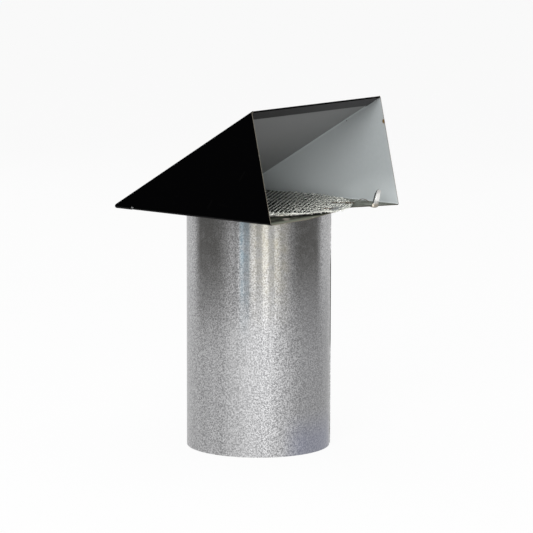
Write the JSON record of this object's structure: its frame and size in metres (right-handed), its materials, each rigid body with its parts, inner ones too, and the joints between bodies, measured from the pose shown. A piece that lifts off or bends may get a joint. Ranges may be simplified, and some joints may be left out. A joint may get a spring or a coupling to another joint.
{
  "type": "round exterior wall vent",
  "caption": "Wide-mouth exterior wall vent: sloped painted sheet hood with a woven bird screen on a short round galvanised duct pipe.",
  "frame": {"origin": "centre of the pipe's cut end, on the pipe's axis; the vent stands on that end", "axes": "+Z along the pipe towards the hood, -Y the way the hood's mouth faces, +X across the mouth"},
  "size_m": [0.1428, 0.1421, 0.2467],
  "materials": {
    "painted_sheet": "black coil paint outside, grey primer inside",
    "galvanised_pipe": "galvanised, fine spangle",
    "screen_wire": "galvanised wire",
    "bright_strip": "bright, lightly worn"
  },
  "bodies": {
    "root": {"hood": "painted_sheet", "pipe": "galvanised_pipe", "bird_screen": "screen_wire", "edge_clip": "bright_strip"}
  },
  "joints": []
}
